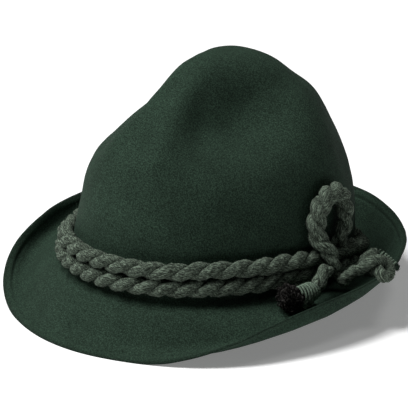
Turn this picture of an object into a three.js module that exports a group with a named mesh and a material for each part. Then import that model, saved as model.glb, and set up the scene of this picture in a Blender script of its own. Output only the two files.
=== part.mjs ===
// Tyrolean felt hat with a twisted cord band, resting on its brim. Millimetres, +Z up,
// front of the hat towards -Y and the wearer's left towards +X.
import * as THREE from 'three'

const RAD = Math.PI / 180

// Felt body. The break is the line where crown and brim meet.
const FELT = 2.2
const BREAK_HALF_WIDTH = 85.2
const BREAK_HALF_LENGTH = 102.2
const BREAK_SADDLE = 3.93
const BACK_DROP = 1.2
const CORNER_RUN = 6
const CROWN_HEIGHT = 138.9
const CROWN_LEAN = 3.3
const LEAN_POWER = 1.4
const WALL_FULLNESS = 2.35
const SHOULDER_FULLNESS = 2.2
const TAPER_POWER = 1.2

// Sections every 30 degrees from the front, alike on both sides: the brim's slopes in degrees near the
// crown, half way and at its lip, its width along the felt, and the part lost by the crown to the top
const SECTIONS = [
  { angle: 0, inner: -34.0, middle: -56.5, lip: -28.3, width: 50.0, taper: 0.059 },
  { angle: 30, inner: -33.1, middle: -58.6, lip: -10.2, width: 51.5, taper: 0.075 },
  { angle: 60, inner: -24.6, middle: -36.7, lip: 68.1, width: 51.4, taper: 0.175 },
  { angle: 90, inner: -11.2, middle: 0.9, lip: 74.2, width: 46.7, taper: 0.088 },
  { angle: 120, inner: -0.8, middle: 44.6, lip: 68.4, width: 45.0, taper: 0.021 },
  { angle: 150, inner: 13.1, middle: 71.5, lip: 81.2, width: 45.9, taper: 0.051 },
  { angle: 180, inner: 23.9, middle: 72.3, lip: 71.6, width: 48.9, taper: 0.181 }
]
const MIDDLE_BEND = { from: 0.05, to: 0.6 }
const LIP_BEND = { from: 0.62, to: 0.92 }

// Dents and ridges of the crown, on both sides, each along a line of angles and heights
const FOLDS = [
  { name: 'front pinch', angle: 25.8, height: 92.7, toAngle: 79.8, toHeight: 110.2, width: 28.7, depth: 20.0 },
  { name: 'bulge below it', angle: 16.1, height: 73.2, toAngle: 103.8, toHeight: 91.0, width: 33.8, depth: -7.6 },
  { name: 'crest in front', angle: 16.2, height: 75.4, toAngle: 12.3, toHeight: 132.0, width: 9.0, depth: -2.9 },
  { name: 'behind the crest', angle: 36.4, height: 85.9, toAngle: 23.2, toHeight: 121.3, width: 10.0, depth: 1.9 },
  { name: 'edge of the top', angle: 33.1, height: 121.4, toAngle: 185.7, toHeight: 130.7, width: 14.7, depth: 2.9 },
  { name: 'back of the side', angle: 126.6, height: 85.4, toAngle: 133.3, toHeight: 109.6, width: 32.5, depth: 4.4 }
]
const FOLD_POINTS = 12

// Rest on a level surface: the front is raised by this tilt, and the felt is pressed flat where it rests
const REST_TILT = 8.0 * RAD
const REST_PRESS = 0.7

// Cords, with the gap kept between one piece and the next
const GAP = 0.35
const BAND_RADIUS = 5.2
const BAND_GAP = 0.5
const KNOT_ANGLE = 92
const CORD_SIDES = 8

// Route of the cord through the knot and out as the rear tail: along the brim towards the back, out from
// the crown and up from the break
const KNOT_ROUTE = [
  { along: 14.5, out: 4.7, up: 25.9 },
  { along: 18.1, out: 3.5, up: 30.3 },
  { along: 21.3, out: 2.0, up: 37.7 },
  { along: 21.6, out: 0.9, up: 44.7 },
  { along: 19.1, out: -0.1, up: 52.7 },
  { along: 10.2, out: 0.1, up: 58.0 },
  { along: -0.3, out: 1.0, up: 56.8 },
  { along: -8.2, out: 1.8, up: 51.5 },
  { along: -12.0, out: 2.5, up: 44.2 },
  { along: -13.1, out: 3.3, up: 37.3 },
  { along: -11.9, out: 4.8, up: 30.9 },
  { along: -9.2, out: 9.2, up: 27.2 },
  { along: -7.0, out: 14.2, up: 22.2 },
  { along: -4.0, out: 16.3, up: 15.0 },
  { along: -1.5, out: 17.3, up: 9.6 },
  { along: 0.8, out: 20.6, up: 7.0 },
  { along: 3.0, out: 24.4, up: 8.6 },
  { along: 4.4, out: 27.6, up: 11.9 },
  { along: 5.2, out: 31.4, up: 15.8 },
  { along: 7.0, out: 35.4, up: 20.6 },
  { along: 13.7, out: 37.4, up: 23.2 },
  { along: 19.0, out: 40.2, up: 21.3 },
  { along: 20.6, out: 44.2, up: 16.4 },
  { along: 16.2, out: 46.0, up: 11.6 },
  { along: 9.4, out: 46.0, up: 11.6 },
  { along: 10.2, out: 42.3, up: 15.4 },
  { along: 11.4, out: 37.6, up: 15.6 },
  { along: 12.8, out: 32.6, up: 13.8 },
  { along: 13.8, out: 28.2, up: 14.0 },
  { along: 12.3, out: 25.6, up: 18.9 },
  { along: 15.8, out: 25.8, up: 23.6 },
  { along: 20.8, out: 28.2, up: 26.0 },
  { along: 23.9, out: 31.6, up: 24.4 },
  { along: 27.4, out: 40.6, up: 18.9 },
  { along: 30.4, out: 44.2, up: 15.0 }
]
// Pieces cut from that route, from one of its points to another, with their steps and radii
const KNOT_PIECES = [
  { name: 'knot_loop', from: 0, to: 10, steps: 26, first: 5.0, middle: 5.1, last: 5.6, look: 'cord' },
  { name: 'knot_wrap', from: 10, to: 14, steps: 10, first: 5.4, middle: 5.1, last: 4.8, look: 'cord' },
  { name: 'tail_rear', from: 14, to: 17, steps: 7, first: 4.8, middle: 4.8, last: 4.3, look: 'cord' },
  { name: 'tail_rear_knot', from: 17, to: 32, steps: 36, first: 3.3, middle: 3.3, last: 3.0, look: 'cord' },
  { name: 'tail_rear_binding', from: 32, to: 33, steps: 4, first: 2.8, middle: 3.1, last: 2.8, look: 'thread' },
  { name: 'tail_rear_tip', from: 33, to: 34, steps: 3, first: 2.8, middle: 3.0, last: 2.6, look: 'cord' }
]

// Route and pieces of the front tail
const FRONT_ROUTE = [
  { along: -9.9, out: 17.4, up: 14.4 },
  { along: -17.5, out: 18.2, up: 12.4 },
  { along: -23.0, out: 20.2, up: 7.8 },
  { along: -27.6, out: 20.9, up: 4.4 },
  { along: -38.6, out: 17.8, up: 0.5 },
  { along: -47.2, out: 14.2, up: -1.9 }
]
const FRONT_PIECES = [
  { name: 'tail_front', from: 0, to: 3, steps: 6, first: 4.2, middle: 4.2, last: 4.2, look: 'cord' },
  { name: 'tail_front_binding', from: 3, to: 4, steps: 4, first: 5.2, middle: 6.2, last: 5.6, look: 'thread' },
  { name: 'tail_front_tuft', from: 4, to: 5, steps: 4, first: 5.4, middle: 7.0, last: 7.2, look: 'tuft' }
]

// How far the felt's raw edge rounds out, as a share of its thickness
const EDGE_ROUND = 0.4

// Fineness of the meshes and of the searches on the felt's outer face
const AROUND = 60
const BRIM_ROWS = [0, 0.045, 0.12, 0.21, 0.31, 0.42, 0.56, 0.72, 0.87]
const CORNER_ROWS = [1, 1.33, 1.67]
const CROWN_ROWS = [2, 2.09, 2.18, 2.27, 2.36, 2.45, 2.54, 2.63, 2.72, 2.8, 2.87, 2.94]
const BRIM_STEPS = 60
const BAND_STEPS = 60
const HALVINGS = 30
const NORMAL_TURN = 0.5 * RAD
const NORMAL_STEP = 0.004
const SEAT_SEARCH = { from: 1.4, to: 2.5, step: 0.004 }
const CORNER_SEARCH = { from: 0.3, to: 2, step: 0.02 }

const LOOKS = {
  felt: new THREE.MeshStandardMaterial({ color: '#2b3a2f', roughness: 0.95, metalness: 0 }),
  cord: new THREE.MeshStandardMaterial({ color: '#3a4a3d', roughness: 0.95, metalness: 0 }),
  thread: new THREE.MeshStandardMaterial({ color: '#4f6152', roughness: 0.8, metalness: 0 }),
  tuft: new THREE.MeshStandardMaterial({ color: '#1c1d18', roughness: 0.95, metalness: 0 })
}

const { lerp, smoothstep } = THREE.MathUtils

// Cosine waves that pass smoothly through one column of the sections
function waves (column) {
  const last = SECTIONS.length - 1
  return SECTIONS.map((_, wave) => {
    let sum = 0
    SECTIONS.forEach((row, i) => {
      const share = i === 0 || i === last ? 0.5 : 1
      sum += share * row[column] * Math.cos(wave * i * Math.PI / last)
    })
    const half = wave === 0 || wave === last ? 0.5 : 1
    return 2 / last * half * sum
  })
}

const WAVES = {}
for (const column of ['inner', 'middle', 'lip', 'width', 'taper']) WAVES[column] = waves(column)

// Value of a column at any angle from the front, in radians
function around (column, angle) {
  return WAVES[column].reduce((sum, height, wave) => sum + height * Math.cos(wave * angle), 0)
}

// Direction away from the crown, level and square to the break
function outward (angle) {
  const x = Math.sin(angle) / BREAK_HALF_WIDTH
  const y = -Math.cos(angle) / BREAK_HALF_LENGTH
  return new THREE.Vector3(x, y, 0).normalize()
}

// The break is higher at the sides than at the front, and lowest at the back
function breakHeight (angle) {
  const back = (0.5 - 0.5 * Math.cos(angle)) ** 4
  return -BREAK_SADDLE * Math.cos(2 * angle) - BACK_DROP * back
}

function breakPoint (angle) {
  const x = BREAK_HALF_WIDTH * Math.sin(angle)
  const y = -BREAK_HALF_LENGTH * Math.cos(angle)
  return new THREE.Vector3(x, y, breakHeight(angle))
}

// Slope of the brim in radians, at a share of its width from the break to the edge
function brimSlope (angle, share) {
  const inner = around('inner', angle)
  const middle = around('middle', angle)
  const lip = around('lip', angle)
  const bend = smoothstep(share, MIDDLE_BEND.from, MIDDLE_BEND.to)
  const turn = smoothstep(share, LIP_BEND.from, LIP_BEND.to)
  return (inner + (middle - inner) * bend + (lip - middle) * turn) * RAD
}

// Upper face of the brim, by following its slope out from the break
function brimPoint (angle, share) {
  const steps = Math.max(1, Math.ceil(share * BRIM_STEPS))
  const run = share * around('width', angle) / steps
  let out = 0
  let up = 0
  for (let i = 0; i < steps; i++) {
    const slope = brimSlope(angle, (i + 0.5) / steps * share)
    out += run * Math.cos(slope)
    up += run * Math.sin(slope)
  }
  const point = breakPoint(angle).addScaledVector(outward(angle), out)
  point.z += up
  return point
}

// Outer face of the crown before its folds, from the break at 0 to the middle of the top at 1
function shellPoint (angle, share) {
  const turn = share * Math.PI / 2
  const rise = Math.sin(turn) ** (2 / SHOULDER_FULLNESS)
  const plain = Math.max(Math.cos(turn), 0) ** (2 / WALL_FULLNESS)
  const reach = plain * (1 - around('taper', angle) * rise ** TAPER_POWER)
  const x = BREAK_HALF_WIDTH * Math.sin(angle) * reach
  const y = -BREAK_HALF_LENGTH * Math.cos(angle) * reach + CROWN_LEAN * rise ** LEAN_POWER
  const z = CROWN_HEIGHT * rise + breakHeight(angle) * (1 - rise)
  return new THREE.Vector3(x, y, z)
}

// Normal of a surface given by angle and position, facing out of the hat
function normalOf (surface, angle, position, last) {
  const before = Math.max(position - NORMAL_STEP, 0)
  const after = Math.min(position + NORMAL_STEP, last - NORMAL_STEP / 4)
  const sideways = surface(angle + NORMAL_TURN, position).sub(surface(angle - NORMAL_TURN, position))
  const upwards = surface(angle, after).sub(surface(angle, before))
  return sideways.cross(upwards).normalize()
}

// Point of the plain crown at an angle and a height, found by halving
function shellAtHeight (angle, height) {
  let low = 0
  let high = 1
  for (let i = 0; i < HALVINGS; i++) {
    const share = (low + high) / 2
    if (shellPoint(angle, share).z < height) low = share
    else high = share
  }
  return shellPoint(angle, low)
}

// Each fold as points on the plain crown, with the sum that its middle point reaches
const FOLD_LINES = FOLDS.map(fold => {
  const points = []
  for (let i = 0; i < FOLD_POINTS; i++) {
    const share = i / (FOLD_POINTS - 1)
    const angle = lerp(fold.angle, fold.toAngle, share) * RAD
    points.push(shellAtHeight(angle, lerp(fold.height, fold.toHeight, share)))
  }
  const line = { ...fold, points }
  return { ...line, full: nearness(points[FOLD_POINTS / 2], line, 1) }
})

// Sum of soft bells round the points of a fold, on one side of the hat
function nearness (point, fold, side) {
  const bell = centre => {
    const x = point.x - side * centre.x
    const y = point.y - centre.y
    const z = point.z - centre.z
    return Math.exp(-(x * x + y * y + z * z) / fold.width ** 2)
  }
  return fold.points.reduce((sum, centre) => sum + bell(centre), 0)
}

function crownPoint (angle, share) {
  const point = shellPoint(angle, share)
  const normal = normalOf(shellPoint, angle, share, 1)
  let depth = 0
  for (const fold of FOLD_LINES) {
    const near = nearness(point, fold, 1) + nearness(point, fold, -1)
    depth += fold.depth * near / fold.full
  }
  return point.addScaledVector(normal, -depth)
}

// Outer face of the whole felt: 0 at the brim's edge, 1 and 2 at the ends of the corner, 3 at the top
const CORNER_TOP = Math.asin((CORNER_RUN / CROWN_HEIGHT) ** (SHOULDER_FULLNESS / 2)) / (Math.PI / 2)

function outerPoint (angle, position) {
  const corner = CORNER_RUN / around('width', angle)
  if (position < 1) return brimPoint(angle, 1 - position * (1 - corner))
  if (position >= 2) return crownPoint(angle, CORNER_TOP + (position - 2) * (1 - CORNER_TOP))
  const bend = new THREE.QuadraticBezierCurve3(
    brimPoint(angle, corner), breakPoint(angle), crownPoint(angle, CORNER_TOP))
  return bend.getPoint(position - 1)
}

function outerNormal (angle, position) {
  return normalOf(outerPoint, angle, position, 3)
}

// Closed mesh through rings of points, with a point at each end, or joined end to end
function meshOf (rings, start, end) {
  const sides = rings[0].length
  const points = rings.flat()
  const faces = []
  const joined = start === undefined
  for (let i = 0; i < (joined ? rings.length : rings.length - 1); i++) {
    const next = (i + 1) % rings.length
    for (let j = 0; j < sides; j++) {
      const k = (j + 1) % sides
      const [a, b, c, d] = [i * sides + j, i * sides + k, next * sides + k, next * sides + j]
      faces.push(a, b, c, a, c, d)
    }
  }
  if (!joined) {
    points.push(start, end)
    const last = (rings.length - 1) * sides
    for (let j = 0; j < sides; j++) {
      const k = (j + 1) % sides
      faces.push(points.length - 2, k, j, points.length - 1, last + j, last + k)
    }
  }
  const geometry = new THREE.BufferGeometry()
  geometry.setAttribute('position', new THREE.Float32BufferAttribute(points.flatMap(p => p.toArray()), 3))
  if (volumeOf(points, faces) < 0) faces.reverse()
  geometry.setIndex(faces)
  geometry.computeVertexNormals()
  return geometry
}

function volumeOf (points, faces) {
  let sum = 0
  for (let i = 0; i < faces.length; i += 3) {
    const [a, b, c] = [points[faces[i]], points[faces[i + 1]], points[faces[i + 2]]]
    sum += a.dot(b.clone().cross(c)) / 6
  }
  return sum
}

const hat = new THREE.Group()
hat.rotation.x = -REST_TILT
hat.updateMatrixWorld()
const toRest = hat.matrixWorld.clone()
const fromRest = toRest.clone().invert()

function addPiece (name, geometry, look) {
  const mesh = new THREE.Mesh(geometry, LOOKS[look])
  mesh.name = name
  hat.add(mesh)
}

// The felt's two faces and its rounded edge, in rings from the top outside to the top inside
function feltRings () {
  const angles = Array.from({ length: AROUND }, (_, i) => i / AROUND * 2 * Math.PI)
  const rows = [...BRIM_ROWS, ...CORNER_ROWS, ...CROWN_ROWS]
  const outer = rows.map(row => angles.map(angle => outerPoint(angle, row)))
  const inner = rows.map((row, i) => angles.map((angle, j) =>
    outer[i][j].clone().addScaledVector(outerNormal(angle, row), -FELT)))
  const edge = angles.map((angle, j) => {
    const middle = outer[0][j].clone().lerp(inner[0][j], 0.5)
    const across = outer[0][j].clone().sub(outerPoint(angle, BRIM_ROWS[1])).normalize()
    return middle.addScaledVector(across, FELT * EDGE_ROUND)
  })
  return [...outer.toReversed(), edge, ...inner]
}

// The felt pressed flat on the level that it rests on, a little above its lowest point
function pressed (rings) {
  const lowest = Math.min(...rings.flat().map(p => p.clone().applyMatrix4(toRest).z))
  const floor = lowest + REST_PRESS
  return rings.map(ring => ring.map(point => {
    const rest = point.clone().applyMatrix4(toRest)
    rest.z = Math.max(rest.z, floor)
    return rest.applyMatrix4(fromRest)
  }))
}

function addFelt () {
  const rings = pressed(feltRings())
  const top = outerPoint(0, 3)
  const inside = top.clone().addScaledVector(new THREE.Vector3(0, 0, 1), -FELT)
  addPiece('felt_body', meshOf(rings, top, inside), 'felt')
}

// Ring of points round a cord's centre, on the given axes
function section (centre, across, over, radius) {
  return Array.from({ length: CORD_SIDES }, (_, i) => {
    const turn = i / CORD_SIDES * 2 * Math.PI
    return centre.clone()
      .addScaledVector(across, radius * Math.cos(turn))
      .addScaledVector(over, radius * Math.sin(turn))
  })
}

// Centre of the band's cord where it lies against the felt at a position on the outer face
function seated (angle, position) {
  return outerPoint(angle, position).addScaledVector(outerNormal(angle, position), BAND_RADIUS + BAND_GAP)
}

// Lowest such centre on the wall that keeps each listed point at the distance listed with it
function lowestSeat (angle, others) {
  const { from, to, step } = SEAT_SEARCH
  for (let position = from; position < to; position += step) {
    const centre = seated(angle, position)
    if (others.every(other => other.point.distanceTo(centre) >= other.distance)) return centre
  }
  throw new Error('no seat for the band')
}

// The band's two turns: the lower one in the corner of the felt, the upper one on the wall above it
function addBand () {
  const lower = []
  const upper = []
  for (let i = 0; i < BAND_STEPS; i++) {
    const angle = i / BAND_STEPS * 2 * Math.PI
    const felt = []
    for (let position = CORNER_SEARCH.from; position < CORNER_SEARCH.to; position += CORNER_SEARCH.step) {
      felt.push({ point: outerPoint(angle, position), distance: BAND_RADIUS + 0.98 * BAND_GAP })
    }
    const low = lowestSeat(angle, felt)
    lower.push(low)
    upper.push(lowestSeat(angle, [{ point: low, distance: 2 * BAND_RADIUS + BAND_GAP }]))
  }
  addPiece('band_cord_upper', ringCord(upper), 'cord')
  addPiece('band_cord_lower', ringCord(lower), 'cord')
}

// Endless cord through the given centres
function ringCord (centres) {
  const count = centres.length
  const rings = centres.map((centre, i) => {
    const along = centres[(i + 1) % count].clone().sub(centres[(i + count - 1) % count]).normalize()
    const over = new THREE.Vector3(0, 0, 1).cross(along).normalize()
    return section(centre, along.clone().cross(over), over, BAND_RADIUS)
  })
  return meshOf(rings)
}

// Curve through a route of the knot's side of the hat
function routeCurve (route) {
  const angle = KNOT_ANGLE * RAD
  const out = outward(angle)
  const along = new THREE.Vector3(-out.y, out.x, 0)
  const points = route.map(row => {
    const point = breakPoint(angle).addScaledVector(along, row.along).addScaledVector(out, row.out)
    point.z += row.up
    return point
  })
  return new THREE.CatmullRomCurve3(points, false, 'centripetal')
}

// One piece of a cord between two points of its route. Its end faces are square to the route there,
// and half the gap back from the join.
function cordPiece (curve, piece) {
  const last = curve.points.length - 1
  const rings = []
  const ends = []
  const across = new THREE.Vector3(0, 0, 1)
  for (let i = 0; i <= piece.steps; i++) {
    const part = i / piece.steps
    const share = lerp(piece.from, piece.to, part) / last
    const along = curve.getTangent(share)
    const centre = curve.getPoint(share)
    if (i === 0) centre.addScaledVector(along, GAP / 2)
    if (i === piece.steps) centre.addScaledVector(along, -GAP / 2)
    across.addScaledVector(along, -across.dot(along)).normalize()
    const bulge = 4 * part * (1 - part)
    const radius = lerp(piece.first, piece.last, part) * (1 - bulge) + piece.middle * bulge
    rings.push(section(centre, across, along.clone().cross(across), radius))
    if (i === 0 || i === piece.steps) ends.push(centre)
  }
  return meshOf(rings, ...ends)
}

function addCord (route, pieces) {
  const curve = routeCurve(route)
  for (const piece of pieces) addPiece(piece.name, cordPiece(curve, piece), piece.look)
}

addFelt()
addBand()
addCord(KNOT_ROUTE, KNOT_PIECES)
addCord(FRONT_ROUTE, FRONT_PIECES)

// Stand the hat on the origin, in the middle of its outline
const object = new THREE.Group()
object.add(hat)
const box = new THREE.Box3().setFromObject(hat, true)
const middle = box.getCenter(new THREE.Vector3())
hat.position.set(-middle.x, -middle.y, -box.min.z)

export default object
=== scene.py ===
import math
import bpy
import numpy as np
from mathutils import Matrix, Vector


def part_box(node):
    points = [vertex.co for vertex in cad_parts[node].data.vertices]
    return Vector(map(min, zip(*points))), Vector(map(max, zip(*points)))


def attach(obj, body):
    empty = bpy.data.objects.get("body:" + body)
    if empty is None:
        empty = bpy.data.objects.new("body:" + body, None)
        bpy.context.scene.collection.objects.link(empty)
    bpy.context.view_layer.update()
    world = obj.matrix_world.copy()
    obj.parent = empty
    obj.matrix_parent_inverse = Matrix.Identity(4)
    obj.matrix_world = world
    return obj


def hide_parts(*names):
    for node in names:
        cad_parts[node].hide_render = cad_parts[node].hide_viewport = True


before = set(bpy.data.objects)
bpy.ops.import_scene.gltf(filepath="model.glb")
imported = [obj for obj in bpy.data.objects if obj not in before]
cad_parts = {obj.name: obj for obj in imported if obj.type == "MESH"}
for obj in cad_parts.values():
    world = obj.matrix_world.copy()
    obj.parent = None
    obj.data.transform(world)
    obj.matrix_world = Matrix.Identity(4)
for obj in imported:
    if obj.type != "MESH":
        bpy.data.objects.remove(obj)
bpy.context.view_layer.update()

# Shapes are worked out in millimetres in the hat's own frame, with its front towards -Y and the wearer's
# left towards +X. to_row tilts the hat to how it rests and gives metres.
MM = 0.001
RAD = math.pi / 180

# Felt body. The break is the line where crown and brim meet.
FELT = 2.2
BREAK_HALF_WIDTH = 85.2
BREAK_HALF_LENGTH = 102.2
BREAK_SADDLE = 3.93
BACK_DROP = 1.2
CORNER_RUN = 6.0
CROWN_HEIGHT = 138.9
CROWN_LEAN = 3.3
LEAN_POWER = 1.4
WALL_FULLNESS = 2.35
SHOULDER_FULLNESS = 2.2
TAPER_POWER = 1.2

# Sections every 30 degrees, from the front to the back: the brim's slopes near the crown, half way and
# at its lip, its width along the felt, and the part of its reach that the crown loses up to the top
SECTIONS = [
    dict(inner=-34.0, middle=-56.5, lip=-28.3, width=50.0, taper=0.059),
    dict(inner=-33.1, middle=-58.6, lip=-10.2, width=51.5, taper=0.075),
    dict(inner=-24.6, middle=-36.7, lip=68.1, width=51.4, taper=0.175),
    dict(inner=-11.2, middle=0.9, lip=74.2, width=46.7, taper=0.088),
    dict(inner=-0.8, middle=44.6, lip=68.4, width=45.0, taper=0.021),
    dict(inner=13.1, middle=71.5, lip=81.2, width=45.9, taper=0.051),
    dict(inner=23.9, middle=72.3, lip=71.6, width=48.9, taper=0.181),
]
MIDDLE_BEND = (0.05, 0.6)
LIP_BEND = (0.62, 0.92)

# Dents and ridges of the crown, on both sides, each along a line of angles and heights
FOLDS = {
    "front pinch": dict(angle=(25.8, 79.8), height=(92.7, 110.2), width=28.7, depth=20.0),
    "bulge below it": dict(angle=(16.1, 103.8), height=(73.2, 91.0), width=33.8, depth=-7.6),
    "crest in front": dict(angle=(16.2, 12.3), height=(75.4, 132.0), width=9.0, depth=-2.9),
    "behind the crest": dict(angle=(36.4, 23.2), height=(85.9, 121.3), width=10.0, depth=1.9),
    "edge of the top": dict(angle=(33.1, 185.7), height=(121.4, 130.7), width=14.7, depth=2.9),
    "back of the side": dict(angle=(126.6, 133.3), height=(85.4, 109.6), width=32.5, depth=4.4),
}
FOLD_POINTS = 12

# The hat leans back by this angle as it rests on its brim
REST_TILT = 8.0 * RAD

# Rope: two plies laid to the left, each of a few yarns that wind to the right
BAND_RADIUS = 5.8
BAND_LIFT = 0.1
BAND_RISE = 2.2
BAND_APART = 10.05
BAND_STEP = 1.1

# Away from the knot's side, round the back, the cord is drawn tight: thinner, and down in the corner
TIGHT_FROM = 43 * RAD
TIGHT_START = 66 * RAD
TIGHT_FULL = 97 * RAD
TIGHT_RADIUS = 4.7
TIGHT_APART = 8.2

BANDS = [
    dict(node="band_cord_lower", turns=24, phase=2.57, seed=11),
    dict(node="band_cord_upper", turns=22, phase=0.79, seed=31),
]
PLIES = 2
PLY_SHARE = 0.565
PLY_WIDE = 1.12
YARN_LAY = 17.0

# Where the band's seat is looked for, in places on the felt as in outer_point: from, to and step.
# The cord is seated where its middle is at least this share of its lift away from all of the felt.
FELT_SEARCH = (0.3, 2.0, 0.02)
SEAT_SEARCH = (1.4, 2.4, 0.005)
SEAT_TOUCH = 0.98

# The knot. Its routes are in millimetres along, out from and up the crown at this angle from the front.
KNOT_ANGLE = 92 * RAD
KNOT_ROUTE = [
    (12.6, 4.9, 23.0), (17.8, 3.7, 30.3), (21.0, 2.4, 37.7), (21.4, 1.2, 44.7), (18.9, 0.3, 52.5),
    (10.2, 0.6, 57.6), (0.4, 1.8, 55.8), (-6.6, 3.0, 50.6), (-10.0, 3.7, 44.0), (-10.9, 4.6, 37.3),
    (-10.2, 6.2, 30.9), (-8.2, 10.2, 26.6), (-6.0, 14.2, 21.6), (-4.0, 16.3, 15.0), (-1.5, 17.3, 9.6),
    (0.8, 20.2, 7.0), (3.0, 23.6, 8.2), (4.4, 27.4, 11.4), (5.2, 31.4, 15.4), (7.0, 35.4, 20.0),
    (13.7, 37.6, 20.8), (18.0, 39.6, 19.2), (19.0, 42.8, 15.4), (15.4, 44.6, 12.2), (9.6, 44.4, 13.0),
    (10.2, 41.4, 15.0), (11.4, 37.4, 14.2), (12.8, 32.6, 13.0), (13.8, 28.6, 12.6), (13.0, 26.4, 15.6),
    (16.0, 26.8, 19.2), (20.0, 28.4, 21.4), (22.8, 30.6, 22.2), (27.0, 40.2, 16.0), (29.8, 43.8, 12.8),
]
FRONT_ROUTE = [
    (-9.9, 17.4, 14.4), (-17.5, 18.2, 12.4), (-23.0, 20.2, 7.8), (-27.6, 20.9, 4.4), (-38.6, 17.8, 0.9),
    (-50.0, 11.4, -0.2),
]
# The wrap's last turn comes forward as a short thick lobe, and a smaller one lies under the front binding
WRAP_LOBE = [(5.6, 27.6, 15.6), (2.6, 27.4, 12.8), (-1.1, 26.0, 9.6), (-4.0, 24.6, 6.2), (-5.6, 23.4, 3.8)]
FRONT_LOBE = [(-32.0, 22.6, -1.2), (-36.0, 22.0, -2.6), (-39.5, 20.6, -3.6)]

# Points of the smooth curve from each point of a route to the next
ROUTE_STEPS = 40

# The knot's parts: a route, the points of it where the part begins and ends, and its spacing
LOOP = (KNOT_ROUTE, 0, 17, 0.7)
WRAP = (WRAP_LOBE, 0, 4, 0.5)
REAR_KNOT = (KNOT_ROUTE, 17, 32, 0.5)
REAR_BINDING = (KNOT_ROUTE, 32, 33, 0.5)
REAR_TIP = (KNOT_ROUTE, 33, 34, 0.4)
REAR_TIP_POINTS = 11
FRONT_TAIL = (FRONT_ROUTE, 0, 3, 0.6)
FRONT_END_LOBE = (FRONT_LOBE, 0, 2, 0.5)
FRONT_BINDING = (FRONT_ROUTE, 3, 4, 0.5)
FRONT_TUFT = (FRONT_ROUTE, 4, 5, 0.4)

LOOP_TURNS = 5.6
LOOP_PHASE = 0.6
TAIL_TURNS = 0.9
TAIL_PHASE = 1.0

# Radii of the knot's parts. Those in lists change along the part, as (share of its length, radius).
TAIL_RADIUS = 4.6
LOBE_RADIUS = 3.1
REAR_KNOT_RADIUS = 3.75
REAR_WOUND_RADIUS = 2.4
REAR_CORE_RADIUS = 2.2
LOOP_RADIUS = [
    (0, 5.0), (0.12, 5.6), (0.26, 5.9), (0.36, 6.4), (0.5, 6.7), (0.62, 6.4), (0.74, 5.8), (0.85, 4.7),
    (1, 4.0),
]
WRAP_RADIUS = [(0, 3.4), (0.5, 4.1), (1, 4.0)]
TIP_RADIUS = [(0, 2.1), (0.4, 2.3), (1, 1.0)]
WOUND_RADIUS = [(0, 4.7), (0.3, 5.8), (0.7, 6.0), (1, 5.5)]
CORE_RADIUS = [(0, 4.1), (0.3, 5.0), (1, 5.0)]
TUFT_RADIUS = [(0, 4.6), (0.35, 5.6), (0.75, 6.0), (1, 5.0)]

# Binding thread: its own radius at the rear and in front, the advance of each turn and its points
REAR_THREAD = 0.62
FRONT_THREAD = 0.68
THREAD_PITCH = 1.95
THREAD_POINTS = 44

# Short crimped yarns on the tuft
TUFT_CURLS = 260

# Colours, linear
FELT_GREEN = (0.0199, 0.0380, 0.0255)
WOOL_GREY = (0.077, 0.100, 0.076)
THREAD_GREEN = (0.145, 0.200, 0.150)
CUT_GREEN = (0.018, 0.030, 0.022)
CUT_BROWN = (0.0165, 0.0158, 0.0145)

# Light and dark in the materials, as (place on the ramp, strength)
FELT_SHADES = ((0.35, 0.42), (0.5, 0.95), (0.65, 1.8))
FELT_CLOUD = ((0.3, 0.86), (0.7, 1.14))
# Painted shade on the brim's cut edge: the felt's colour falls to 0.68 of itself there, standing in for the
# edge seen in shadow
FELT_EDGE_SHADE = ((0.0, 1.0), (1.0, 0.68))
WOOL_CLOUD = ((0.3, 0.75), (0.7, 1.2))

# Noise scales
FELT_GRAIN = 1250.0
FELT_PATCH = 45.0
WOOL_PATCH = 200.0

# Attribute with each point's place on its own strand
STRAND_PLACE = "strand_place"

# Attribute that is 1 on the felt's cut edge and fades to 0 beside it: the weight of the painted shade that
# darkens the edge
EDGE_SHADE_ATTRIBUTE = "painted_edge_shade"


# Small tools on arrays of points

def unit(v):
    return v / np.maximum(np.linalg.norm(v, axis=-1, keepdims=True), 1e-12)


def smoothstep(x, low, high):
    t = np.clip((x - low) / (high - low), 0, 1)
    return t * t * (3 - 2 * t)


def ripple(points, size, seed, waves=28):
    """Smooth random field of about unit strength, with hollows and bumps about size across."""
    dice = np.random.default_rng(seed)
    directions = unit(dice.normal(size=(waves, 3))) * dice.uniform(0.6, 1.7, (waves, 1))
    phases = dice.uniform(0, 2 * np.pi, waves)
    turns = points @ directions.T * (2 * np.pi / size) + phases
    return np.cos(turns).sum(-1) / math.sqrt(waves / 2)


# The felt's outer face

def waves(column):
    """Cosine waves that pass smoothly through one column of the sections."""
    last = len(SECTIONS) - 1
    values = np.array([row[column] for row in SECTIONS])
    share = np.ones(last + 1)
    share[[0, -1]] = 0.5
    i = np.arange(last + 1)
    heights = [2 / last * np.sum(share * values * np.cos(wave * i * np.pi / last)) for wave in i]
    return np.array(heights) * share


WAVES = {column: waves(column) for column in ("inner", "middle", "lip", "width", "taper")}


def around(column, angle):
    return sum(height * np.cos(wave * angle) for wave, height in enumerate(WAVES[column]))


def outward(angle):
    return unit(np.stack([np.sin(angle) / BREAK_HALF_WIDTH, -np.cos(angle) / BREAK_HALF_LENGTH,
                          np.zeros_like(angle)], -1))


def break_height(angle):
    return -BREAK_SADDLE * np.cos(2 * angle) - BACK_DROP * (0.5 - 0.5 * np.cos(angle)) ** 4


def break_point(angle):
    return np.stack([BREAK_HALF_WIDTH * np.sin(angle), -BREAK_HALF_LENGTH * np.cos(angle),
                     break_height(angle)], -1)


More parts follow.
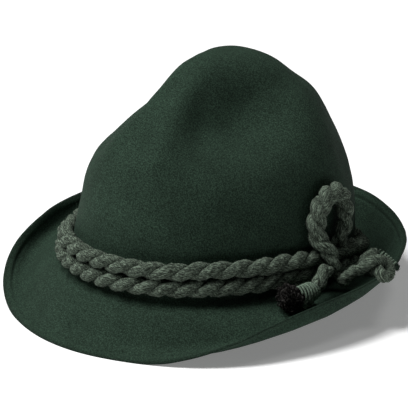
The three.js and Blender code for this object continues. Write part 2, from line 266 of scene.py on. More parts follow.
def brim_point(angle, share, steps=120):
    """Upper face of the brim, by following its slope out from the break."""
    reach = np.linspace(0, 1, steps + 1)
    middle = (reach[1:] + reach[:-1]) / 2
    inner, half, lip = (around(column, angle)[..., None] for column in ("inner", "middle", "lip"))
    slope = (inner + (half - inner) * smoothstep(middle, *MIDDLE_BEND)
             + (lip - half) * smoothstep(middle, *LIP_BEND)) * RAD
    run = around("width", angle)[..., None] / steps
    nothing = np.zeros(angle.shape + (1,))
    out = np.concatenate([nothing, np.cumsum(np.cos(slope) * run, -1)], -1)
    up = np.concatenate([nothing, np.cumsum(np.sin(slope) * run, -1)], -1)
    place = np.clip(share, 0, 1) * steps
    low = np.minimum(place.astype(int), steps - 1)
    part = place - low

    def at(rows):
        left = np.take_along_axis(rows, low[..., None], -1)[..., 0]
        right = np.take_along_axis(rows, low[..., None] + 1, -1)[..., 0]
        return left + (right - left) * part

    point = break_point(angle) + outward(angle) * at(out)[..., None]
    point[..., 2] += at(up)
    return point


def shell_point(angle, share):
    """Outer face of the crown before its folds, from the break at 0 to the middle of the top at 1."""
    turn = share * np.pi / 2
    rise = np.sin(turn) ** (2 / SHOULDER_FULLNESS)
    plain = np.maximum(np.cos(turn), 0) ** (2 / WALL_FULLNESS)
    reach = plain * (1 - around("taper", angle) * rise ** TAPER_POWER)
    return np.stack([BREAK_HALF_WIDTH * np.sin(angle) * reach,
                     -BREAK_HALF_LENGTH * np.cos(angle) * reach + CROWN_LEAN * rise ** LEAN_POWER,
                     CROWN_HEIGHT * rise + break_height(angle) * (1 - rise)], -1)


def normal_of(surface, angle, position, last):
    turn, step = 0.5 * RAD, 0.004
    before = np.maximum(position - step, 0)
    after = np.minimum(position + step, last - step / 4)
    sideways = surface(angle + turn, position) - surface(angle - turn, position)
    upwards = surface(angle, after) - surface(angle, before)
    return unit(np.cross(sideways, upwards))


def fold_line(fold):
    """Points of the plain crown along a fold."""
    part = np.linspace(0, 1, FOLD_POINTS)
    angles = (fold["angle"][0] + (fold["angle"][1] - fold["angle"][0]) * part) * RAD
    heights = fold["height"][0] + (fold["height"][1] - fold["height"][0]) * part
    shares = np.linspace(0, 1, 400)
    points = []
    for angle, height in zip(angles, heights):
        meridian = shell_point(np.full(400, angle), shares)
        points.append([np.interp(height, meridian[:, 2], meridian[:, k]) for k in range(3)])
    return np.array(points)


def nearness(points, line, width):
    away = ((points[..., None, :] - line) ** 2).sum(-1)
    return np.exp(-away / width ** 2).sum(-1)


def crown_point(angle, share):
    point = shell_point(angle, share)
    depth = 0
    for fold, line in FOLD_LINES:
        full = nearness(line[FOLD_POINTS // 2], line, fold["width"])
        both = nearness(point, line, fold["width"]) + nearness(point, line * [-1, 1, 1], fold["width"])
        depth = depth + fold["depth"] * both / full
    return point - normal_of(shell_point, angle, share, 1) * depth[..., None]


FOLD_LINES = [(fold, fold_line(fold)) for fold in FOLDS.values()]
CORNER_TOP = math.asin((CORNER_RUN / CROWN_HEIGHT) ** (SHOULDER_FULLNESS / 2)) / (math.pi / 2)


def outer_point(angle, position):
    """Outer face of the felt: 0 at the brim's edge, 1 and 2 at the ends of the corner, 3 at the top."""
    corner = CORNER_RUN / around("width", angle)
    on_brim = brim_point(angle, np.where(position < 1, 1 - position * (1 - corner), corner))
    on_crown = crown_point(angle, CORNER_TOP + np.maximum(position - 2, 0) * (1 - CORNER_TOP))
    t = np.clip(position - 1, 0, 1)[..., None]
    bend = (1 - t) ** 2 * on_brim + 2 * t * (1 - t) * break_point(angle) + t ** 2 * on_crown
    return bend


def outer_normal(angle, position):
    return normal_of(outer_point, angle, position, 3)


# The felt's two faces and its rounded edge, in rings from the top outside to the top inside

AROUND = 360
BRIM_ROWS = np.concatenate([np.linspace(0, 0.3, 26), np.linspace(0.3, 1, 34)[1:]])
CORNER_ROWS = np.linspace(1, 2, 11)[1:]
CROWN_ROWS = np.linspace(2, 2.985, 76)[1:]
INNER_STEP = 2
EDGE_TURNS = (30, 60, 90, 120, 150)

# The brim's edge curls down over its last few millimetres, less below than above, and is cut round
EDGE_BULGE = 1.0
EDGE_ROLL = 0.9
EDGE_ROLL_RUN = 4.2
EDGE_ROLL_BELOW = 0.6
# Run in millimetres over which painted shade darkens the felt's colour towards the brim's cut edge
EDGE_SHADE_RUN = 0.9

# A faint crease pressed all round, a little inside the brim's edge
CREASE_FROM_EDGE = 5.4
CREASE_WIDTH = 1.4
CREASE_DEPTH = 0.6


def felt_rings():
    angles = np.linspace(0, 2 * np.pi, AROUND, endpoint=False)
    rows = np.concatenate([BRIM_ROWS, CORNER_ROWS, CROWN_ROWS])
    angle, position = np.meshgrid(angles, rows)
    outer = outer_point(angle, position)
    normal = outer_normal(angle, position)
    outer = outer + normal * felt_unevenness(outer)[..., None]
    from_edge = position * (around("width", angle) - CORNER_RUN)
    crease = CREASE_DEPTH * np.exp(-((from_edge - CREASE_FROM_EDGE) / CREASE_WIDTH) ** 2)
    roll = EDGE_ROLL * np.maximum(1 - from_edge / EDGE_ROLL_RUN, 0) ** 2
    inner = outer - normal * (FELT + roll * EDGE_ROLL_BELOW)[..., None]
    outer = outer - normal * (crease + roll)[..., None]
    across = unit(outer[0] - outer[1])
    middle = (outer[0] + inner[0]) / 2
    half = (FELT - EDGE_ROLL * (1 - EDGE_ROLL_BELOW)) / 2
    edge = []
    for turn in EDGE_TURNS:
        bulge, side = math.sin(turn * RAD) * EDGE_BULGE, math.cos(turn * RAD) * half
        edge.append(middle + across * bulge + normal[0] * side)
    rings = list(outer[::-1]) + edge + list(inner[::INNER_STEP])
    # Weight of the painted shade on the brim's edge: 1 on the rounded edge, fading away on both faces
    # within about a millimetre of it
    near = np.exp(-(from_edge / EDGE_SHADE_RUN) ** 2)
    near = np.concatenate([near[::-1], np.ones((len(edge), AROUND)), near[::INNER_STEP]])
    top = outer[-1].mean(0)
    return rings, top, top - [0, 0, FELT], near


def felt_unevenness(points):
    """Hand-blocked felt is never quite even: soft waves of a fraction of a millimetre."""
    return 0.16 * ripple(points, 46, 3) + 0.07 * ripple(points, 17, 4)


def tilted(points):
    c, s = math.cos(REST_TILT), math.sin(REST_TILT)
    x, y, z = points[..., 0], points[..., 1], points[..., 2]
    return np.stack([x, y * c + z * s, z * c - y * s], -1)


FELT_RINGS, FELT_TOP, FELT_INSIDE, EDGE_SHADE_AMOUNT = felt_rings()


def row_shift():
    """Shift that puts the tilted felt into the box of felt_body."""
    low, high = (np.array(corner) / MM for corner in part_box("felt_body"))
    points = tilted(np.concatenate(FELT_RINGS))
    own_low, own_high = points.min(0), points.max(0)
    shift = (low + high - own_low - own_high) / 2
    shift[2] = high[2] - own_high[2]
    return shift


SHIFT = row_shift()


def to_row(points):
    return (tilted(np.asarray(points, float)) + SHIFT) * MM


# Meshes

def shells(parts):
    """Vertices and faces of several closed shells. Each is (rings, start, end); with no start it is
    joined end to end. Seen along the shell a ring runs anticlockwise, so the faces look outwards."""
    vertices, faces, count = [], [], 0
    for rings, start, end in parts:
        rings = np.asarray(rings)
        turns, sides = rings.shape[:2]
        joined = start is None
        i = np.arange(turns if joined else turns - 1)[:, None]
        j = np.arange(sides)[None]
        k = (j + 1) % sides
        after = (i + 1) % turns
        quads = np.stack([i * sides + j, after * sides + j, after * sides + k, i * sides + k], -1)
        faces += (quads.reshape(-1, 4) + count).tolist()
        vertices.append(rings.reshape(-1, 3))
        if not joined:
            vertices.append(np.array([start, end]))
            first, last = turns * sides + count, turns * sides + 1 + count
            j, k = j[0], k[0]
            faces += np.stack([np.full(sides, first), j + count, k + count], -1).tolist()
            bottom = (turns - 1) * sides + count
            faces += np.stack([np.full(sides, last), k + bottom, j + bottom], -1).tolist()
        count += turns * sides + (0 if joined else 2)
    return np.concatenate(vertices), faces


def add_mesh(name, vertices, faces, material, nodes, places=None):
    mesh = bpy.data.meshes.new(name)
    mesh.from_pydata(vertices.tolist(), [], faces)
    mesh.materials.append(material)
    mesh.polygons.foreach_set("use_smooth", np.ones(len(mesh.polygons), bool))
    if places is not None:
        layer = mesh.attributes.new(STRAND_PLACE, "FLOAT_VECTOR", "POINT")
        layer.data.foreach_set("vector", (places * MM).astype(np.float32).ravel())
    mesh.update()
    piece = bpy.data.objects.new(name, mesh)
    bpy.context.scene.collection.objects.link(piece)
    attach(piece, "root")
    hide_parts(*nodes)
    return piece


# Cords

def smooth_route(route):
    """Centripetal Catmull-Rom curve through a route."""
    points = np.array(route, float)
    points = np.concatenate([[2 * points[0] - points[1]], points, [2 * points[-1] - points[-2]]])
    out = []
    for p0, p1, p2, p3 in zip(points, points[1:], points[2:], points[3:]):
        t1 = np.linalg.norm(p1 - p0) ** 0.5
        t2 = t1 + np.linalg.norm(p2 - p1) ** 0.5
        t3 = t2 + np.linalg.norm(p3 - p2) ** 0.5
        t = np.linspace(t1, t2, ROUTE_STEPS, endpoint=False)[:, None]
        a1 = (t1 - t) / t1 * p0 + t / t1 * p1
        a2 = (t2 - t) / (t2 - t1) * p1 + (t - t1) / (t2 - t1) * p2
        a3 = (t3 - t) / (t3 - t2) * p2 + (t - t2) / (t3 - t2) * p3
        b1 = (t2 - t) / t2 * a1 + t / t2 * a2
        b2 = (t3 - t) / (t3 - t1) * a2 + (t - t1) / (t3 - t1) * a3
        out.append((t2 - t) / (t2 - t1) * b1 + (t - t1) / (t2 - t1) * b2)
    return np.concatenate(out + [points[-2:-1]])


def lengths(points):
    return np.concatenate([[0], np.cumsum(np.linalg.norm(np.diff(points, axis=0), axis=1))])


def even(points, step):
    """The same line with its points evenly spaced."""
    s = lengths(points)
    at = np.linspace(0, s[-1], max(4, int(round(s[-1] / step)) + 1))
    return np.stack([np.interp(at, s, points[:, k]) for k in range(3)], -1)


def axes_along(points):
    """Tangents and two more axes at each point, carried along without twist."""
    along = unit(np.gradient(points, axis=0))
    across = np.zeros_like(points)
    v = np.array([0, 0, 1.0])
    for i, t in enumerate(along):
        v = v - t * v.dot(t)
        v /= np.linalg.norm(v)
        across[i] = v
    return along, across, np.cross(across, along)


def ring_axes(points):
    """The same for an endless line round the hat, with one axis kept level."""
    along = unit(np.roll(points, -1, 0) - np.roll(points, 1, 0))
    over = unit(np.cross([0, 0, 1.0], along))
    return along, np.cross(along, over), over


def dome(s, radius):
    """Share of the radius left near the two ends of a cord, which close in a dome."""
    near = np.minimum(s, s[-1] - s) / radius
    return np.sqrt(np.maximum(1 - np.clip(1 - near, 0, 1) ** 2, 0.02))


def strand(points, across, over, radius, yarns=5, lay=YARN_LAY, ridge=0.07, sides=20, rough=0.13, seed=1,
           closed=False):
    """A woolly strand: its yarns wind round it as ridges, and its surface is uneven. Its places are where
    its points would be if the strand were pulled straight and its yarns unwound."""
    s = lengths(points)[:, None]
    turn = np.linspace(0, 2 * np.pi, sides, endpoint=False)[None]
    radius = np.broadcast_to(radius, (len(points),))[:, None]
    wound = turn + 2 * np.pi * s / lay
    r = radius * (1 + ridge * (np.abs(np.cos(yarns * wound / 2)) * 2 - 1.27))
    rings = points[:, None] + across[:, None] * (r * np.cos(turn))[..., None] \
        + over[:, None] * (r * np.sin(turn))[..., None]
    out = unit(rings - points[:, None])
    uneven = ripple(rings, 2.2, seed) * rough + ripple(rings, 6.0, seed + 1) * rough
    rings = rings + out * (uneven * np.minimum(radius / 2.5, 1))[..., None]
    places = np.stack([s + seed * 50 + 0 * r, r * np.cos(wound), r * np.sin(wound)], -1)
    return dict(rings=rings, places=places, line=points, closed=closed)


def rope(centres, axes, radius, turns, phase, closed=False, seed=1):
    """Two plies laid to the left round a centre line. radius is the rope's own, along its length."""
    _, across, over = axes
    s = lengths(centres)
    total = s[-1] + (np.linalg.norm(centres[0] - centres[-1]) if closed else 0)
    radius = np.broadcast_to(radius, (len(centres),))
    ply = radius * PLY_SHARE
    out = []
    for k in range(PLIES):
        turn = 2 * np.pi * (turns * s / total + k / PLIES) + phase
        away = across * np.cos(turn)[:, None] + over * np.sin(turn)[:, None]
        line = centres + away * (radius - ply)[:, None]
        if closed:
            ahead = unit(np.roll(line, -1, 0) - np.roll(line, 1, 0))
        else:
            ahead = unit(np.gradient(line, axis=0))
        side = unit(np.cross(ahead, away))
        outwards = np.cross(side, ahead)
        size = ply if closed else ply * dome(s, 3.0)
        out.append(strand(line, side * PLY_WIDE, outwards, size, seed=seed + 10 * k, closed=closed))
    return out


def fibres(strands, count, length=(0.9, 2.6), thickness=0.045, lift=0.5, seed=1):
    """Loose wool fibres that stand off the strands, each a thin closed needle with a bend in it."""
    dice = np.random.default_rng(seed)
    found = []
    for strand_part in strands:
        rings, places, line = strand_part["rings"], strand_part["places"], strand_part["line"]
        number = count // len(strands)
        i = dice.integers(1, len(rings) - 1, number)
        j = dice.integers(0, rings.shape[1], number)
        root = rings[i, j]
        out = unit(root - line[i])
        ahead = unit(rings[i + 1, j] - rings[i - 1, j])
        reach = dice.uniform(*length, number)[:, None]
        way = dice.choice([-1, 1], (number, 1))
        start = unit(out * lift + ahead * way + dice.normal(0, 0.45, (number, 3)))
        bend = unit(start + dice.normal(0, 0.6, (number, 3)) + out * lift * 0.4)
        middle = root + start * reach * 0.5
        tip = middle + bend * reach * 0.5
        side = unit(np.cross(start, dice.normal(size=(number, 3))))
        other = np.cross(side, start)
        turn = np.array([0, 2, 4]) * np.pi / 3
        spread = side[:, None] * np.cos(turn)[None, :, None] + other[:, None] * np.sin(turn)[None, :, None]
        base = root - out * 0.1
        low = base[:, None] + spread * thickness
        high = middle[:, None] + spread * thickness * 0.8
        points = np.concatenate([low, high, base[:, None], tip[:, None]], 1)
        own = places[i, j] + dice.uniform(-8, 8, (number, 3))
        found.append((points, np.repeat(own[:, None], points.shape[1], 1)))
    return [np.concatenate(rows) for rows in zip(*found)]


def together(first, second):
    """Two sets of fibres as one."""
    return [np.concatenate(rows) for rows in zip(first, second)]


NEEDLE_FACES = [
    (0, 3, 4, 1), (1, 4, 5, 2), (2, 5, 3, 0),
    (6, 0, 1), (6, 1, 2), (6, 2, 0), (7, 4, 3), (7, 5, 4), (7, 3, 5),
]


def add_strands(name, strands, material, nodes, loose=None):
    """One piece of several strands and the loose fibres on them."""
    shapes, laid = [], []
    for part in strands:
        ends = (part["line"][0], part["line"][-1])
        flat = (part["places"][0].mean(0), part["places"][-1].mean(0))
        if part["closed"]:
            ends = flat = (None, None)
        shapes.append((part["rings"], *ends))
        laid.append((part["places"], *flat))
    vertices, faces = shells(shapes)
    places, _ = shells(laid)
    if loose is not None:
        points, own = loose
        size = points.shape[1]
        for i in range(len(points)):
            first = len(vertices) + i * size
            faces += [[first + v for v in face] for face in NEEDLE_FACES]
        vertices = np.concatenate([vertices, points.reshape(-1, 3)])
        places = np.concatenate([places, own.reshape(-1, 3)])
    return add_mesh(name, to_row(vertices), faces, material, nodes, places)


# Where the band lies: the lower turn in the corner of the felt, the upper one on the wall above it

def tightness(angles):
    away = np.abs((angles - TIGHT_FROM + np.pi) % (2 * np.pi) - np.pi)
    return smoothstep(away, TIGHT_START, TIGHT_FULL)


def band_lines(count=240):
    angles = np.linspace(0, 2 * np.pi, count, endpoint=False)
    tight = tightness(angles)
    radius = BAND_RADIUS + (TIGHT_RADIUS - BAND_RADIUS) * tight
    lift = radius + BAND_LIFT
    rise = BAND_RISE * (1 - tight)
    apart_by = BAND_APART + (TIGHT_APART - BAND_APART) * tight
    felt = outer_point(*np.meshgrid(angles, np.arange(*FELT_SEARCH), indexing="ij"))
    grid = np.meshgrid(angles, np.arange(*SEAT_SEARCH), indexing="ij")
    seats = outer_point(*grid) + outer_normal(*grid) * lift[:, None, None]
    lower, upper = [], []
    for i in range(count):
        away = np.linalg.norm(seats[i][:, None] - felt[i][None], axis=-1).min(1)
        low = seats[i][np.argmax(away >= SEAT_TOUCH * lift[i])]
        apart = np.linalg.norm(seats[i] - low, axis=-1) * np.where(seats[i][:, 2] > low[2], 1, -1)
        lower.append(seats[i][np.argmax(apart >= rise[i])])
        upper.append(seats[i][np.argmax(apart >= rise[i] + apart_by[i])])
    return np.array(lower), np.array(upper)


def smooth_ring(points, rounds=6):
    for _ in range(rounds):
        points = (np.roll(points, 1, 0) + np.roll(points, -1, 0) + 2 * points) / 4
    return points


def even_ring(points, step):
    closed = np.concatenate([points, points[:1]])
    return even(closed, step)[:-1]


def add_band(wool):
    for band, line in zip(BANDS, band_lines()):
        line = even_ring(smooth_ring(line), BAND_STEP)
        angles = np.arctan2(line[:, 0] / BREAK_HALF_WIDTH, -line[:, 1] / BREAK_HALF_LENGTH)
        radius = BAND_RADIUS + (TIGHT_RADIUS - BAND_RADIUS) * tightness(angles)
        strands = rope(line, ring_axes(line), radius, band["turns"], band["phase"], True, band["seed"])
        short = fibres(strands, 5200, seed=band["seed"])
        long = fibres(strands, 260, length=(3.0, 6.5), lift=0.9, seed=band["seed"] + 1)
        add_strands(band["node"] + "_twisted", strands, wool, [band["node"]], together(short, long))


# The knot at the wearer's left

def local_to_hat(route):
    angle = np.array(KNOT_ANGLE)
    out = outward(angle)
    along = np.array([-out[1], out[0], 0])
    rows = np.array(route, float)
    return break_point(angle) + rows[:, :1] * along + rows[:, 1:2] * out + rows[:, 2:] * [0, 0, 1]


def stretch(route, first, last, step):
    """Evenly spaced points of a route from one of its points to another."""
    fine = smooth_route(local_to_hat(route))
    return even(fine[first * ROUTE_STEPS:last * ROUTE_STEPS + 1], step)


def blend_radius(points, stops):
    """A radius at each point of a line, from its stops."""
    share = lengths(points) / lengths(points)[-1]
    return np.interp(share, *zip(*stops))


def thread_coil(points, radius, thread):
    """Thread wound closely round a cord's end, as one long strand."""
    _, across, over = axes_along(points)
    s = lengths(points)
    turns = s[-1] / THREAD_PITCH
    count = int(turns * THREAD_POINTS)
    at = np.linspace(0, s[-1], count)
    angle = np.linspace(0, turns * 2 * np.pi, count)[:, None]

    def pick(rows):
        return np.stack([np.interp(at, s, rows[:, k]) for k in range(3)], -1)

    out = pick(across) * np.cos(angle) + pick(over) * np.sin(angle)
    line = pick(points) + out * np.interp(at, s, radius)[:, None]
    ahead = unit(np.gradient(line, axis=0))
    size = thread * dome(lengths(line), thread)
    return strand(line, out, np.cross(out, ahead), size, yarns=2, lay=3.0, ridge=0.08, sides=8, rough=0.03)


def plain_strand(points, radius, **look):
    _, across, over = axes_along(points)
    return strand(points, across, over, radius, **look)


def add_knot(wool, thread, cut):
    loop = stretch(*LOOP)
    strands = rope(loop, axes_along(loop), blend_radius(loop, LOOP_RADIUS), LOOP_TURNS, LOOP_PHASE, seed=51)
    lobe = stretch(*WRAP)
    size = blend_radius(lobe, WRAP_RADIUS) * dome(lengths(lobe), 3.4)
    strands.append(plain_strand(lobe, size, ridge=0.1, seed=55))
    add_strands("knot_cord_twisted", strands, wool, ["knot_loop", "knot_wrap", "tail_rear"],
                fibres(strands, 1800, seed=5))

    tie = stretch(*REAR_KNOT)
    body = plain_strand(tie, REAR_KNOT_RADIUS * dome(lengths(tie), 2.5), ridge=0.1, seed=61)
    add_strands("tail_rear_knot_tied", [body], wool, ["tail_rear_knot"],
                fibres([body], 800, seed=6))

    wound = stretch(*REAR_BINDING)
    coil = thread_coil(wound, np.full(len(wound), REAR_WOUND_RADIUS), REAR_THREAD)
    add_strands("tail_rear_binding_wound", [coil], thread, ["tail_rear_binding"])

    core = plain_strand(wound, REAR_CORE_RADIUS * dome(lengths(wound), 1.5), seed=71)
    tip = stretch(*REAR_TIP)[:REAR_TIP_POINTS]
    size = blend_radius(tip, TIP_RADIUS) * dome(lengths(tip), 1.2)
    end = plain_strand(tip, size, yarns=7, ridge=0.1, rough=0.25, seed=81)
    add_strands("tail_rear_tip_frayed", [core, end], cut, ["tail_rear_tip"],
                fibres([end], 240, length=(1.0, 2.2), thickness=0.09, lift=0.3, seed=8))


def curls(end, count, seed=1):
    """Short crimped yarns that stand up from a cut end and curl over."""
    dice = np.random.default_rng(seed)
    rings, line = end["rings"], end["line"]
    turn = np.linspace(-0.3, 1.15, 9)[:, None] * np.pi
    out = []
    for k in range(count):
        i, j = dice.integers(2, len(rings) - 1), dice.integers(0, rings.shape[1])
        away = unit(rings[i, j] - line[i])
        side = unit(np.cross(away, dice.normal(size=3)))
        size = dice.uniform(0.7, 1.7)
        arc = rings[i, j] + away * size * np.sin(turn) + side * size * (1 - np.cos(turn))
        out.append(plain_strand(arc, dice.uniform(0.34, 0.5) * dome(lengths(arc), 0.4), yarns=3, lay=2.5,
                                sides=6, rough=0.05, seed=seed + k))
    return out


def add_front_tail(wool, thread, dark):
    tail = stretch(*FRONT_TAIL)
    strands = rope(tail, axes_along(tail), TAIL_RADIUS, TAIL_TURNS, TAIL_PHASE, seed=91)
    lobe = stretch(*FRONT_END_LOBE)
    strands.append(plain_strand(lobe, LOBE_RADIUS * dome(lengths(lobe), 2.6), rough=0.3, seed=95))
    add_strands("tail_front_twisted", strands, wool, ["tail_front"], fibres(strands, 600, seed=9))

    wound = stretch(*FRONT_BINDING)
    coil = thread_coil(wound, blend_radius(wound, WOUND_RADIUS), FRONT_THREAD)
    add_strands("tail_front_binding_wound", [coil], thread, ["tail_front_binding"],
                fibres([coil], 300, seed=14))

    tuft = stretch(*FRONT_TUFT)
    size = blend_radius(tuft, TUFT_RADIUS) * dome(lengths(tuft), 3.4)
    end = plain_strand(tuft, size, yarns=9, ridge=0.12, sides=48, rough=0.8, seed=111)
    crimped = curls(end, TUFT_CURLS, seed=113)
    loose = fibres([end], 900, length=(1.4, 3.4), thickness=0.12, lift=0.9, seed=12)
    core = plain_strand(wound, blend_radius(wound, CORE_RADIUS) * dome(lengths(wound), 2.0), seed=101)
    add_strands("tail_front_tuft_cut", [core, end] + crimped, dark, ["tail_front_tuft"], loose)


# Materials

def node_tree(name):
    material = bpy.data.materials.new(name)
    material.use_nodes = True
    nodes = material.node_tree.nodes
    return material, nodes, material.node_tree.links, nodes["Principled BSDF"]


def noise_node(nodes, links, place, scale, detail):
    node = nodes.new("ShaderNodeTexNoise")
    node.inputs["Scale"].default_value = scale
    node.inputs["Detail"].default_value = detail
    node.inputs["Roughness"].default_value = 0.6
    links.new(place, node.inputs["Vector"])
    return node.outputs["Fac"]


def ramp_node(nodes, links, value, stops):
    node = nodes.new("ShaderNodeValToRGB")
    ramp = node.color_ramp
    while len(ramp.elements) < len(stops):
        ramp.elements.new(0.5)
    for element, (at, colour) in zip(ramp.elements, stops):
        element.position = at
        element.color = (*colour, 1)
    links.new(value, node.inputs["Fac"])
    return node.outputs["Color"]


# Sockets of a mix of two colours
MIX_FIRST = 6
MIX_SECOND = 7
MIX_RESULT = 2


def multiply_node(nodes, links, a, b):
    node = nodes.new("ShaderNodeMix")
    node.data_type = "RGBA"
    node.blend_type = "MULTIPLY"
    node.inputs["Factor"].default_value = 1.0
    links.new(a, node.inputs[MIX_FIRST])
    links.new(b, node.inputs[MIX_SECOND])
    return node.outputs[MIX_RESULT]


def bump_node(nodes, links, height, strength, distance, below=None):
    node = nodes.new("ShaderNodeBump")
    node.inputs["Strength"].default_value = strength
    node.inputs["Distance"].default_value = distance
    links.new(height, node.inputs["Height"])
    if below is not None:
        links.new(below, node.inputs["Normal"])
    return node.outputs["Normal"]


def shades(colour, strengths):
    return [(at, tuple(strength * part for part in colour)) for at, strength in strengths]


def greys(strengths):
    return shades((1, 1, 1), strengths)


def felt_material():
    """Wool felt: matted short fibres, darker and lighter from fibre to fibre and place to place, with
    painted shade darkening the brim's cut edge.
    """
    material, nodes, links, shader = node_tree("green wool felt")
    place = nodes.new("ShaderNodeTexCoord").outputs["Object"]
    grain = noise_node(nodes, links, place, FELT_GRAIN, detail=3.0)
    patch = noise_node(nodes, links, place, FELT_PATCH, detail=5.0)
    base = ramp_node(nodes, links, grain, shades(FELT_GREEN, FELT_SHADES))
    cloud = ramp_node(nodes, links, patch, greys(FELT_CLOUD))
    # Painted shade: the colour is darkened along the brim's cut edge, down to 0.68 of itself on the edge
    edge = nodes.new("ShaderNodeAttribute")
    edge.attribute_name = EDGE_SHADE_ATTRIBUTE
    rim = ramp_node(nodes, links, edge.outputs["Fac"], greys(FELT_EDGE_SHADE))
    colour = multiply_node(nodes, links, base, cloud)
    links.new(multiply_node(nodes, links, colour, rim), shader.inputs["Base Color"])
    shader.inputs["Roughness"].default_value = 0.95
    shader.inputs["Specular IOR Level"].default_value = 0.1
    shader.inputs["Sheen Weight"].default_value = 0.012
    shader.inputs["Sheen Roughness"].default_value = 0.5
    shader.inputs["Sheen Tint"].default_value = (0.75, 0.95, 0.82, 1)
    fine = bump_node(nodes, links, grain, strength=0.5, distance=0.0003)
    broad = bump_node(nodes, links, patch, strength=0.2, distance=0.001, below=fine)
    links.new(broad, shader.inputs["Normal"])
    return material


def wool_material(name, colour, contrast=1.0, sheen=0.02, hair=1900.0, stretched=0.33):
    """Spun wool: fine fibres along the yarns, light and dark ones mixed."""
    material, nodes, links, shader = node_tree(name)
    place = nodes.new("ShaderNodeAttribute")
    place.attribute_name = STRAND_PLACE
    drawn = nodes.new("ShaderNodeMapping")
    drawn.inputs["Scale"].default_value = (stretched, 1, 1)
    links.new(place.outputs["Vector"], drawn.inputs["Vector"])
    hairs = noise_node(nodes, links, drawn.outputs["Vector"], hair, detail=3.0)
    patch = noise_node(nodes, links, place.outputs["Vector"], WOOL_PATCH, detail=3.0)
    low, high = 1 - 0.75 * contrast, 1 + 1.9 * contrast
    base = ramp_node(nodes, links, hairs, shades(colour, ((0.38, low), (0.5, 0.78), (0.63, high))))
    cloud = ramp_node(nodes, links, patch, greys(WOOL_CLOUD))
    links.new(multiply_node(nodes, links, base, cloud), shader.inputs["Base Color"])
    shader.inputs["Roughness"].default_value = 0.95
    shader.inputs["Specular IOR Level"].default_value = 0.1
    shader.inputs["Sheen Weight"].default_value = sheen
    shader.inputs["Sheen Roughness"].default_value = 0.5
    hairy = bump_node(nodes, links, hairs, strength=0.8, distance=0.0007)
    links.new(hairy, shader.inputs["Normal"])
    return material


def floor_material():
    material, _, _, shader = node_tree("pale floor")
    shader.inputs["Base Color"].default_value = (*FLOOR_WHITE, 1)
    shader.inputs["Roughness"].default_value = 0.9
    shader.inputs["Emission Color"].default_value = (1, 1, 1, 1)
    shader.inputs["Emission Strength"].default_value = FLOOR_GLOW
    return material


# Floor, lights and camera

FLOOR_SIZE = 6.0
FLOOR_WHITE = (0.95, 0.95, 0.95)
FLOOR_GLOW = 0.2
WORLD_LIGHT = 0.02
CAMERA_AZIMUTH = 42.92
CAMERA_ELEVATION = 21.17
CAMERA_DISTANCE = 1.5
CAMERA_LENS = 200.0

# The photo: the hat's tilt in it, its scale, its side in pixels and where the hat's own origin falls
PHOTO_TILT = 7.65 * RAD
MM_A_PIXEL = 0.6617
PHOTO_SIDE = 408
HAT_ORIGIN_PIXEL = (213.4, 254.3)


def add_floor():
    bpy.ops.mesh.primitive_plane_add(size=FLOOR_SIZE, location=(0, 0, 0))
    floor = bpy.context.object
    floor.name = "floor"
    floor.data.materials.append(floor_material())


def camera_axes():
    a, e = CAMERA_AZIMUTH * RAD, CAMERA_ELEVATION * RAD
    right = np.array([math.cos(a), math.sin(a), 0])
    back = np.array([math.sin(a) * math.cos(e), -math.cos(a) * math.cos(e), math.sin(e)])
    up = np.cross(back, right)
    turn = Matrix.Rotation(PHOTO_TILT - REST_TILT, 3, "X")
    return [np.array(turn @ Vector(v)) for v in (right, back, up)]


def add_camera():
    right, back, up = camera_axes()
    origin = to_row(np.zeros(3))
    away = PHOTO_SIDE / 2 - np.array(HAT_ORIGIN_PIXEL)
    target = origin + (right * away[0] - up * away[1]) * MM_A_PIXEL * MM
    place = origin + back * CAMERA_DISTANCE
    data = bpy.data.cameras.new("camera")
    data.lens = CAMERA_LENS
    data.sensor_width = 36.0
    data.clip_end = 100
    camera = bpy.data.objects.new("camera", data)
    z = unit(place - target)
    x = unit(np.cross(up, z))
    y = np.cross(z, x)
    camera.matrix_world = Matrix([[x[i], y[i], z[i], place[i]] for i in range(3)] + [[0, 0, 0, 1]])
    bpy.context.scene.collection.objects.link(camera)
    bpy.context.scene.camera = camera


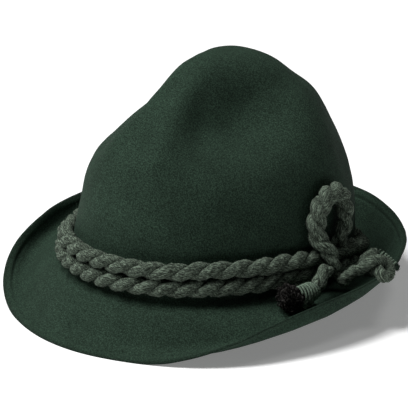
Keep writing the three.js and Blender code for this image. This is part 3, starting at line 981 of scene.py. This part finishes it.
# Soft lights round the hat: turned from the camera's side to the right, raised, with size and power
LIGHTS = [
    dict(name="key", turn=-85, rise=50, size=0.9, power=31.0),
    dict(name="above", turn=-100, rise=70, size=0.9, power=51.0),
    dict(name="fill", turn=90, rise=70, size=0.8, power=5.0),
]
LIGHT_DISTANCE = 2.6
LIGHT_FOCUS = (0, 0, 0.07)


def add_lights():
    for row in LIGHTS:
        turn, rise = (CAMERA_AZIMUTH + row["turn"]) * RAD, row["rise"] * RAD
        way = Vector((math.sin(turn) * math.cos(rise), -math.cos(turn) * math.cos(rise), math.sin(rise)))
        data = bpy.data.lights.new(row["name"], "AREA")
        data.shape = "DISK"
        data.size = row["size"]
        data.energy = row["power"]
        light = bpy.data.objects.new(row["name"], data)
        light.location = Vector(LIGHT_FOCUS) + way * LIGHT_DISTANCE
        light.rotation_euler = way.to_track_quat("Z", "Y").to_euler()
        bpy.context.scene.collection.objects.link(light)
    world = bpy.data.worlds.new("studio")
    world.use_nodes = True
    world.node_tree.nodes["Background"].inputs["Color"].default_value = (1, 1, 1, 1)
    world.node_tree.nodes["Background"].inputs["Strength"].default_value = WORLD_LIGHT
    bpy.context.scene.world = world


def build():
    felt = felt_material()
    wool = wool_material("twisted wool", WOOL_GREY)
    thread = wool_material("binding thread", THREAD_GREEN, contrast=0.6, hair=2500.0)
    cut = wool_material("cut cord end", CUT_GREEN, sheen=0.0)
    dark = wool_material("cut wool tuft", CUT_BROWN, contrast=1.25, sheen=0.0, hair=600.0, stretched=1.0)
    rings = to_row(np.array(FELT_RINGS))
    rings[..., 2] = np.maximum(rings[..., 2], 0)
    vertices, faces = shells([(rings, to_row(FELT_TOP), to_row(FELT_INSIDE))])
    hat = add_mesh("felt_hat", vertices, faces, felt, ["felt_body"])
    # Weight of the painted shade on the felt's cut edge, 0 at the two middle points of the top
    layer = hat.data.attributes.new(EDGE_SHADE_ATTRIBUTE, "FLOAT", "POINT")
    layer.data.foreach_set("value", np.append(EDGE_SHADE_AMOUNT.ravel(), (0, 0)).astype(np.float32))
    add_band(wool)
    add_knot(wool, thread, cut)
    add_front_tail(wool, thread, dark)


bpy.context.scene.view_settings.view_transform = "Standard"
build()
add_floor()
add_camera()
add_lights()
